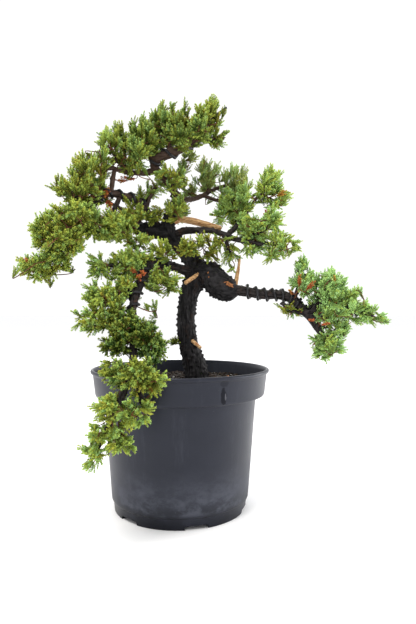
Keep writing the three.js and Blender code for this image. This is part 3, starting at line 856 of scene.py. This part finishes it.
def make_wood():
    bark = bark_finish("old_bark", (0.003, 0.003, 0.0035), (0.018, 0.0165, 0.018), (0.030, 0.016, 0.010))
    branch_bark = bark_finish(
        "branch_bark", (0.005, 0.004, 0.004), (0.032, 0.026, 0.025), (0.070, 0.030, 0.016)
    )
    trunk = grow_wood("trunk", "trunk_bark", 0.62 * MM, TRUNK_SWELL, 22, 0.55 * MM, TRUNK_KNOBS, 11)
    finish_piece(trunk, bark, ["trunk"])
    for index, node in enumerate(n for n in BARK_NODES if n != "trunk"):
        swell = WIRED_SWELL if node in WIRED else BRANCH_SWELL
        seed = 31 + 7 * index
        piece = grow_wood(node, node + "_bark", 0.5 * MM, swell, 7, 0.32 * MM, BRANCH_KNOBS, seed)
        finish_piece(piece, branch_bark, [node])
    dead = dead_wood_finish()
    for index, node in enumerate(DEAD_NODES):
        seed = 131 + 7 * index
        piece = grow_wood(node, node + "_wood", 0.35 * MM, DEAD_SWELL, 5, 0.35 * MM, None, seed)
        finish_piece(piece, dead, [node])


# Torn slivers of bark round the dead twig's foot: x and z in mm, turn in degrees, length in mm
SLIVERS = [
    (50, 241, 4, 6.5), (53, 239.5, -10, 7), (56, 240, 8, 8), (59, 239.5, -4, 8.5), (62, 238.5, 6, 7),
    (59, 242, 70, 6), (64, 238, -12, 6),
]
# Small round pruning scars on the knuckle: x, z and radius in mm
SCARS = [(24.5, 252.5, 1.2), (26, 247, 1.1)]


def on_trunk(solid, x, z):
    """The place on the front of the trunk nearest to x and z in mm, and the way out of it."""
    place, out, _, _ = solid.tree.find_nearest(Vector((x * MM, -0.036, z * MM)))
    return np.array(place), unit(np.array(out))


def laid_on(shape, along, place, out, lift):
    """A shape laid on a surface, with its x along one way and its z out of the surface."""
    verts, faces = shape
    return verts @ np.stack([along, np.cross(out, along), out]) + place + out * lift * MM, faces


def make_scars():
    rng = np.random.default_rng(61)
    solid = Solid("trunk")
    slivers, scars = [], []
    for x, z, turn, length in SLIVERS:
        place, out = on_trunk(solid, x, z)
        across = unit(np.cross(UP, out))
        spin = math.radians(turn)
        along = math.cos(spin) * across + math.sin(spin) * np.cross(out, across)
        slivers.append(laid_on(leaf_blade(length * MM, 1.8 * MM, 0.6 * MM), along, place, out, 1.6))
    for x, z, radius in SCARS:
        place, out = on_trunk(solid, x, z)
        across = unit(np.cross(UP, out))
        scars.append(laid_on(lump(rng, radius * MM, 0.45), across, place, out, 0.8))
    look = litter_finish("torn_bark", (0.12, 0.042, 0.014), (0.45, 0.18, 0.06))
    for name, shapes in (("torn_bark", slivers), ("pruning_scars", scars)):
        finish_piece(new_object(smooth_shading(joined(name, shapes))), look)


def make_wires():
    look = wire_finish()
    for node in WIRE_NODES:
        mesh = cad_copy(node, node + "_round")
        write_verts(mesh, read_verts(mesh) + 0.42 * MM * read_normals(mesh))
        piece = remeshed(mesh, 0.36 * MM)
        edges = read_edges(piece.data)
        write_verts(piece.data, smoothed(read_verts(piece.data), edges, 9))
        smooth_shading(piece.data)
        finish_piece(piece, look, [node])


# ---- Shoots of needles ----

NEEDLE_WIDTH = 1.3 * MM
NEEDLE_KEEL = 0.6 * MM
WHORL_GAP = 1.3 * MM


def needle_arrays(needles):
    """Vertices, triangles and the kind and light layers of needles.

    A needle is its root, way, outward side, length, colour kind, and painted light at the root and tip.
    """
    rows = np.array(needles)
    root, way, out = rows[:, 0:3], rows[:, 3:6], rows[:, 6:9]
    length, kind, low, high = rows[:, 9:13].T
    side = unit(np.cross(way, out))
    wide = 0.5 * NEEDLE_WIDTH * side
    keel = NEEDLE_KEEL * unit(out)
    tip = root + way * length[:, None]
    verts = np.stack([root - wide, root + wide, root + keel, tip], 1).reshape(-1, 3)
    first = 4 * np.arange(len(rows))[:, None]
    faces = np.concatenate([first + f for f in ([0, 1, 2], [1, 0, 3], [2, 1, 3], [0, 2, 3])])
    kinds = np.stack([kind - 0.012, kind + 0.012, kind, kind], 1).ravel()
    lights = np.stack([low, low, low + 0.05, high], 1).ravel()
    return verts, faces, kinds, lights


def curve_of(start, way, bend, length, steps):
    """Points and ways of a stem that starts one way and bends towards another."""
    points, ways = [start], [way]
    for _ in range(steps):
        way = unit(way + bend / steps)
        points.append(points[-1] + way * length / steps)
        ways.append(way)
    return np.array(points), np.array(ways)


def place_on(points, share):
    """The place that is a share of the way along some points, and the row of the point before it."""
    at = share * (len(points) - 1)
    row = min(int(at), len(points) - 2)
    return points[row] + (at - row) * (points[row + 1] - points[row]), row


def clothe(needles, rng, points, ways, kind, opening, needle):
    """Adds whorls of three needles up a shoot, closing a little towards its blunt end."""
    length = np.linalg.norm(np.diff(points, axis=0), axis=1).sum()
    count = max(int(length / WHORL_GAP), 3)
    turn = rng.uniform(0, 2 * math.pi)
    bright = rng.normal(0, 0.06)
    for whorl in range(count + 2):
        share = min(whorl / count, 1.0)
        root, row = place_on(points, share)
        axis = ways[row]
        across = unit(np.cross(axis, [0.31, 0.95, 0.05]))
        over = np.cross(axis, across)
        bud = whorl > count
        open_deg = 14 if bud else opening[0] + (opening[1] - opening[0]) * share
        for k in range(3):
            spin = turn + whorl * math.pi / 3 + k * 2 * math.pi / 3 + rng.normal(0, 0.2)
            out = math.cos(spin) * across + math.sin(spin) * over
            angle = math.radians(open_deg + rng.normal(0, 6))
            way = math.cos(angle) * axis + math.sin(angle) * out
            size = needle * MM * (0.7 if bud else 1.05 - 0.15 * share) * rng.uniform(0.8, 1.15)
            # Painted light: each needle is darker at its root, in the shoot's shade, and lighter at its tip;
            # bright shifts a whole shoot.
            low = 0.02 + 0.33 * share**1.5 + bright
            high = low + 0.20 + 0.26 * share + rng.uniform(-0.12, 0.26)
            tone = kind + rng.normal(0, 0.035)
            needles.append((*root, *way, *out, size, tone, max(low, 0.0), min(high, 0.97)))


class Spray:
    """A group of shoots on one stem, grown along +Z with +Y as its upper side."""

    def __init__(self, rng, stem, shoots, shoot_length, open_deg, flat, needle=2.5, opening=(44, 32)):
        needles = []
        points, ways = curve_of(np.zeros(3), UP, np.array([rng.normal(0, 0.2), 0.35, 0]), stem * MM, 5)
        tip = shoot_length * 0.8 * MM
        end_points, end_ways = curve_of(points[-1], ways[-1], np.array([rng.normal(0, 0.15), 0.2, 0]), tip, 4)
        clothe(needles, rng, end_points, end_ways, rng.normal(0, 0.06), opening, needle)
        clothe(needles, rng, points[1:], ways[1:], -0.06, (50, 40), needle)
        for index in range(shoots):
            share = 0.25 + 0.7 * (index + rng.uniform(-0.2, 0.2)) / shoots
            root, row = place_on(points, share)
            hand = 1 if index % 2 else -1
            lift = rng.normal(0, flat)
            out = unit(np.array([hand * math.cos(lift), math.sin(lift) + 0.15, 0.0]))
            angle = math.radians(open_deg * rng.uniform(0.75, 1.15))
            way = math.cos(angle) * ways[row] + math.sin(angle) * out
            length = shoot_length * (1.05 - 0.35 * share) * rng.uniform(0.8, 1.15) * MM
            bend = 0.75 * ways[row] + np.array([0, 0.25, 0]) + rng.normal(0, 0.12, 3)
            shoot_points, shoot_ways = curve_of(root, way, bend, length, 4)
            clothe(needles, rng, shoot_points, shoot_ways, rng.normal(0, 0.085), opening, needle)
        self.verts, self.faces, self.kinds, self.lights = needle_arrays(needles)
        self.length = self.verts[:, 2].max()


# Kinds of spray: how many are made, so that neighbours differ, the range of stem lengths in mm, the
# number of side shoots, their length in mm, opening angle and spread, needle length, and needle angles
SPRAY_KINDS = {
    "full": (8, (9, 12), 8, 8.5, 46, 0.6),
    "fan": (7, (9, 12), 7, 10.5, 38, 0.3),
    "rosette": (7, (5, 7), 8, 7.5, 60, 1.2, 2.8),
    "thin": (5, (11, 14), 5, 7, 42, 0.5, 2.4),
    "feather": (3, (10, 12), 5, 4.5, 50, 0.3, 2.6, (56, 40)),
}


def spray_sets():
    rng = np.random.default_rng(5)
    sets = {}
    for kind, (count, stems, *shape) in SPRAY_KINDS.items():
        sets[kind] = [Spray(rng, rng.uniform(*stems), *shape) for _ in range(count)]
    return sets


SPRAYS = spray_sets()
TWIG_SIDES = 5


def tube(points, first, last):
    """A closed tube through some points, from one radius to another: its vertices and triangles."""
    ways = unit(np.gradient(points, axis=0))
    across = unit(np.cross(ways[0], [0.57, 0.21, 0.79]))
    angles = 2 * math.pi * np.arange(TWIG_SIDES) / TWIG_SIDES
    rings = []
    for place, way, radius in zip(points, ways, np.linspace(first, last, len(points))):
        across = unit(across - way * (across @ way))
        over = np.cross(way, across)
        ring = np.cos(angles)[:, None] * across + np.sin(angles)[:, None] * over
        rings.append(place + radius * ring)
    ends = [points[0] - ways[0] * first, points[-1] + ways[-1] * last]
    low = np.arange(TWIG_SIDES)
    high = (low + 1) % TWIG_SIDES
    faces = []
    for a in range(0, TWIG_SIDES * (len(points) - 1), TWIG_SIDES):
        b = a + TWIG_SIDES
        faces.append(np.stack([a + low, a + high, b + high], 1))
        faces.append(np.stack([a + low, b + high, b + low], 1))
    end = TWIG_SIDES * len(points)
    faces.append(np.stack([np.full(TWIG_SIDES, end), high, low], 1))
    top = end - TWIG_SIDES
    faces.append(np.stack([np.full(TWIG_SIDES, end + 1), top + low, top + high], 1))
    return np.concatenate(rings + [np.array(ends)]), np.concatenate(faces)


# ---- Pads of foliage ----

# How far outside a pad's solid the tips of its sprays end, in mm, and how much farther underneath
REACH = (-1.0, 5.0)
SAG = 2.0
# How far outside its solid a spray's foot may stay
LOOSE = 4 * MM
# How deep inner sprays start, and how deep the innermost ones are: deeper ones count as those
INSIDE = 4.5 * MM
DEEPEST = 14 * MM
# The gap between a pad's inner sprays, as a share of the gap
INNER_GAP = 0.95
# The share of the innermost sprays that are old, with needles turned brown
OLD_SHARE = 0.09
# How far beyond the outermost spray its twigs may start, in metres
TWIG_REACH = 0.08
# How much the colour kind varies from patch to patch, and how wide a patch is
PATCH = 0.13
PATCH_SIZE = 22 * MM
# No part of a pad has more triangles than this
MOST_FACES = 190000
# The first pad's seed, so that a change to one pad leaves the others as they are
PAD_SEED = 40

# How a pad grows. lean: the way it leans, added to the way out of the pad. kind: its place from dead (0)
# through olive (0.3) and green (0.5) to mint (0.9). light: painted light added to its needles. sets: its
# kinds of spray.
# gap: mm between sprays. dim: the heights in mm between which it darkens upwards, in another's shade,
# or heights above the tree where it doesn't.
PLAIN = ((0, -0.1, 0.5), 0.5, 0.04, ("full",), 8.8, (900, 950))
Pad = namedtuple("Pad", "lean kind light sets gap dim", defaults=PLAIN)
PADS = {
    "crown": Pad((0.15, -0.1, 0.8), 0.52, -0.01),
    "crown_back": Pad((0, 0.3, 0.8)),
    "upper_left": Pad((-0.3, -0.1, 0.8), 0.48, 0.08),
    "left": Pad((-0.3, -0.2, 0.15), 0.48, 0.16, ("full", "rosette"), 8.2),
    "left_back": Pad((-0.4, 0.3, 0.5)),
    "inner_back": Pad((-0.4, 0.5, 0.4)),
    "junction": Pad((-0.2, -0.1, 0.7), 0.44, 0.1),
    "centre_back": Pad((0.1, -0.1, 0.7), light=0.18),
    "inner_left": Pad((0, -0.1, 0.7), 0.5, 0.12, ("full", "thin")),
    "centre_back_upper": Pad((0, 0, 0.8), 0.5, 0.2, ("full", "thin"), 9.5),
    "back_right": Pad((0.2, 0, 1.0), 0.52, 0.32, ("fan",), 10),
    "right_upper": Pad((0.1, -0.1, 0.6), 0.57, 0.28, ("fan", "full")),
    "mid_right": Pad((0.2, -0.2, 0.2), 0.57, 0.28),
    "mid_right_droop": Pad((0, -0.1, -0.9), 0.5, 0.1, ("thin",), 8),
    "mid_right_back": Pad((0.3, 0.5, 0.4)),
    "right": Pad((0.2, -0.2, 0.2), 0.68, 0.33, ("full", "fan"), 8.1),
    "right_back": Pad((0.4, 0.4, 0.4), 0.6),
    "right_fringe": Pad((-0.4, -0.2, -0.2), 0.4, 0.04, ("thin",), 6),
    "trunk_front": Pad((0, -0.4, 0.2), 0.43, 0.08),
    "trunk_sprout": Pad((-1, 0, 0.2), 0.36, -0.1, ("rosette",), 6),
    "left_base": Pad((-0.3, -0.3, 0.6), 0.47, 0.14),
    "lower_left": Pad((-0.4, -0.3, 0.0), 0.54, 0.2, ("full", "rosette"), 8.2),
    "lower_left_inner": Pad((0.5, -0.3, 0.0), 0.52, 0.14),
    "lower_back": Pad((-0.3, 0.5, 0.2)),
    "cascade_upper": Pad((0, -0.2, -0.1), 0.54, -0.24, ("full", "rosette"), 7.4),
    "cascade": Pad((-0.2, -0.3, -0.3), 0.50, 0.29, ("rosette", "full"), 7.8, (132, 158)),
}
# How much darker it is at the top of those heights
DIMMED = 0.3


def wood_points():
    """Places just inside the bark, where twigs may start."""
    rng = np.random.default_rng(2)
    places = []
    for node in BARK_NODES:
        found, normals = surface_points(*node_arrays(node), 4 * MM, rng, 1.5)
        places.append(found - 0.6 * MM * normals)
    places = np.concatenate(places)
    return places[places[:, 2] > SOIL_TOP + 20 * MM]


def frames_for(way, rng):
    """A turn that takes +Z to a way, with +Y kept upwards and some spin."""
    side = np.cross(UP, way)
    if np.linalg.norm(side) < 0.2:
        side = rng.normal(0, 1, 3)
    side = unit(side - way * (side @ way))
    upper = np.cross(way, side)
    spin = rng.normal(0, 0.7)
    x = math.cos(spin) * side + math.sin(spin) * upper
    return np.stack([x, np.cross(way, x), way])


def pad_sprays(node, pad, rng):
    """Each spray of a pad: its foot, way, size, kind of spray, and how deep it grows, 0 to 1."""
    solid = Solid(node)
    gap = pad.gap * MM
    lean = np.array(pad.lean, float)
    grown, centres = [], []

    def grow(tip, way, size, inner):
        spray = rng.choice(SPRAYS[pad.sets[rng.integers(len(pad.sets))]])
        foot = tip - way * spray.length * size
        for _ in range(3):
            if solid.depth(foot) > -0.5 * MM:
                break
            way = unit(way - 0.7 * solid.way_out(foot))
            size *= 0.88
            foot = tip - way * spray.length * size
        if solid.depth(foot) < -LOOSE:
            return
        grown.append((foot, way, size, spray, inner))
        centres.append(tip - way * 0.35 * spray.length * size)

    places, normals = surface_points(solid.verts, solid.faces, gap, rng, 9)
    for index in spaced(places, gap):
        way = unit(normals[index] + lean + rng.normal(0, 0.25, 3))
        reach = rng.uniform(*REACH) - SAG * normals[index][2]
        grow(places[index] + normals[index] * reach * MM, way, rng.uniform(0.85, 1.12), 0.0)
    low, high = solid.verts.min(axis=0), solid.verts.max(axis=0)
    tries = rng.uniform(low, high, (int(np.prod(high - low) / (0.35 * gap) ** 3), 3))
    deep = np.array([p for p in tries if solid.depth(p) > INSIDE])
    if len(deep):
        outer = len(centres)
        both = np.concatenate([np.array(centres), deep])
        for place in both[[index for index in spaced(both, gap * INNER_GAP) if index >= outer]]:
            way = unit(solid.way_out(place) + lean + rng.normal(0, 0.4, 3))
            depth = min(solid.depth(place) / DEEPEST, 1.0)
            grow(place + way * 4 * MM, way, rng.uniform(0.75, 1.0), depth)
    return grown


def connect(sprays, wood, twigs, rng):
    """Adds twigs that run from the wood, or from each other, to the foot of each spray."""
    feet = np.array([s[0] for s in sprays])
    reach = np.linalg.norm(feet - feet.mean(axis=0), axis=1).max() + TWIG_REACH
    anchors = wood[np.linalg.norm(wood - feet.mean(axis=0), axis=1) < reach]
    away = np.array([np.linalg.norm(anchors - foot, axis=1).min() for foot in feet])
    points = [anchors]
    for index in np.argsort(away):
        foot, way = sprays[index][:2]
        known = np.concatenate(points)
        gaps = np.linalg.norm(known - foot, axis=1)
        behind = ((foot - known) @ way) / np.maximum(gaps, 1e-9)
        best = known[np.argmin(gaps * (1.15 - 0.15 * behind))]
        far = np.linalg.norm(foot - best)
        if far < 0.6 * MM:
            continue
        bend = min(0.25 * far, 4 * MM)
        out = unit(foot - best + rng.normal(0, 0.2, 3) * far)
        t = np.linspace(0, 1, 6)[:, None]
        a, b, c, d = best, best + out * bend, foot - way * bend, foot + way * 1.5 * MM
        path = (1 - t) ** 3 * a + 3 * t * (1 - t) ** 2 * b + 3 * t * t * (1 - t) * c + t**3 * d
        thick = np.interp(far, [0, 0.03, 0.08], [0.5, 0.7, 1.2]) * MM
        twigs.append(tube(path, thick, 0.4 * MM))
        points.append(path[2:5])


def pad_mesh(name, sprays, pad, rng):
    """All the needles of a pad, as one mesh with its colour and painted light layers and the map for baking
    them.
    """
    shapes, kinds, lights = [], [], []
    for foot, way, size, spray, inner in sprays:
        turn = frames_for(way, rng)
        patch = PATCH * (noise_at(foot[None] + 3, PATCH_SIZE, 77)[0] - 0.5)
        old = rng.uniform() < OLD_SHARE * inner
        kind = pad.kind + 0.03 + patch + rng.normal(0, 0.045) - 0.05 * inner
        if old:
            kind = rng.uniform(0.04, 0.24)
        shapes.append((spray.verts @ turn * size + foot, spray.faces))
        kinds.append(spray.kinds * (0.3 if old else 1.0) + kind)
        # Painted light: the pad's own light, less in another's shade between the dim heights, and painted
        # shade deeper inside the pad.
        light = pad.light - np.interp(foot[2] / MM, pad.dim, (0, DIMMED)) + rng.normal(0, 0.06)
        lights.append(spray.lights * (1 - 0.5 * inner) + light)
    mesh = joined(name, shapes)
    kinds = np.concatenate(kinds).clip(0.01, 0.99)
    lights = np.concatenate(lights).clip(0.01, 0.99)
    add_layer(mesh, "kind", kinds)
    add_layer(mesh, "light", lights)
    # The bake's map has the colour's own two numbers as its axes, so stacked needles agree.
    places = np.stack([kinds, lights], 1)
    places = (places - places.min(axis=0)) / np.ptp(places, axis=0)
    corners = read_rows(mesh.loops, "vertex_index", 1, np.int32).ravel()
    layer = mesh.uv_layers.new(name="OFBake", do_init=False)
    layer.uv.foreach_set("vector", places[corners].astype(np.float32).ravel())
    return smooth_shading(mesh)


# Dead sprays whose needles have turned rusty: foot in mm, way, size and kind of spray
DEAD_SPRAYS = [
    ((-45, -14, 349), (-1.0, 0, -0.2), 1.15, "feather"),
    ((-53, -15, 347), (-1.0, 0, -0.35), 1.0, "feather"),
    ((-71, -35, 337), (-0.15, -0.2, -1.0), 1.1, "feather"),
    ((-71, -37, 323), (0.05, -0.2, -1.0), 1.0, "feather"),
    ((-34, -55, 246), (-0.1, -0.9, -0.3), 0.75, "rosette"),
    ((-38, -55, 243), (0.2, -0.8, -0.5), 0.7, "rosette"),
    ((-40, -53, 246), (-0.6, -0.7, 0.2), 0.65, "rosette"),
    ((122, -38, 232), (-0.2, -0.6, 0.8), 0.9, "feather"),
    ((127, -44, 228), (0.4, -0.6, 0.7), 0.9, "feather"),
    ((118, -34, 226), (-0.8, -0.5, 0.2), 0.8, "feather"),
    ((142, -46, 196), (0.5, -0.8, -0.2), 0.8, "feather"),
    ((136, -44, 200), (-0.4, -0.8, -0.2), 0.8, "feather"),
]


def in_parts(sprays):
    """A pad's sprays, shared out from left to right so that no part has too many faces."""
    count = math.ceil(sum(len(spray[3].faces) for spray in sprays) / MOST_FACES)
    order = np.argsort([spray[0][0] for spray in sprays])
    return [[sprays[i] for i in share] for share in np.array_split(order, count)]


def make_foliage():
    wood = wood_points()
    twigs = []
    green = needle_finish("needles")
    # Painted light: the back pads' needles are greyed towards a pale tint, as haze from the bright light
    # behind them.
    backlit_haze = needle_finish("backlit_haze_needles", (0.24, 0.27, 0.16), 0.3)
    for seed, node in enumerate(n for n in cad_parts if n.endswith("_foliage")):
        rng = np.random.default_rng(PAD_SEED + seed)
        pad = PADS.get(node.removesuffix("_foliage"), Pad())
        sprays = pad_sprays(node, pad, rng)
        connect(sprays, wood, twigs, rng)
        look = backlit_haze if node.startswith(("centre_back", "back_right")) else green
        for index, part in enumerate(in_parts(sprays)):
            mesh = pad_mesh(f"{node}_needles_{index + 1}", part, pad, rng)
            finish_piece(new_object(mesh), look, [node])
    dead = []
    for foot, way, size, kind in DEAD_SPRAYS:
        dead.append((np.array(foot) * MM, unit(np.array(way, float)), size, rng.choice(SPRAYS[kind]), 0.0))
    connect(dead, wood, twigs, rng)
    mesh = pad_mesh("rusty_dead_sprays", dead, Pad(kind=0.0, light=0.2), rng)
    finish_piece(new_object(mesh), green)
    finish_piece(new_object(smooth_shading(joined("fine_twigs", twigs))), twig_finish())


# ---- Stage ----

FLOOR_REACH = 30
# Lights: name, place, size in metres, power in watts, colour
LIGHTS = [
    ("key", (-0.7, -1.0, 2.0), 0.9, 30, (1.0, 0.965, 0.92)),
    ("side", (1.6, 0.35, 0.5), 1.3, 27, (1, 1, 1)),
    ("back", (-0.2, 1.6, 1.3), 1.4, 14, (1, 1, 1)),
]
LIT_PLACE = Vector((0.02, 0, 0.25))
SKY_STRENGTH = 1.08
# The camera stands level with the trunk and looks along +Y
CAMERA_PLACE = (0.0298, -0.564, 0.2078)
LENS = 30.06
SENSOR = 36


def make_floor():
    corners = FLOOR_REACH * np.array([[-1.0, -1, 0], [1, -1, 0], [1, 1, 0], [-1, 1, 0]])
    floor = new_object(new_mesh("floor", corners, np.array([[0, 1, 2, 3]])))
    f = Finish("pale_floor", roughness=0.9, specular=0.1)
    f.colour((0.92, 0.92, 0.93, 1))
    floor.data.materials.append(f.material)


def make_lights():
    world = bpy.data.worlds.new("studio")
    world.use_nodes = True
    sky = world.node_tree.nodes["Background"].inputs
    sky["Color"].default_value = (1.0, 1.0, 1.0, 1)
    sky["Strength"].default_value = SKY_STRENGTH
    bpy.context.scene.world = world
    for name, place, size, power, colour in LIGHTS:
        light = bpy.data.lights.new(name, "AREA")
        light.size = size
        light.energy = power
        light.color = colour
        lamp = new_object(light)
        lamp.location = place
        lamp.rotation_euler = (LIT_PLACE - Vector(place)).to_track_quat("-Z", "Y").to_euler()


def make_camera():
    camera = new_object(bpy.data.cameras.new("camera"))
    camera.location = CAMERA_PLACE
    camera.rotation_euler = (math.pi / 2, 0, 0)
    camera.data.lens = LENS
    camera.data.sensor_width = SENSOR
    bpy.context.scene.camera = camera
    bpy.context.scene.view_settings.view_transform = "Standard"


make_floor()
make_lights()
make_camera()
make_pot()
make_soil()
make_wood()
make_scars()
make_wires()
make_foliage()
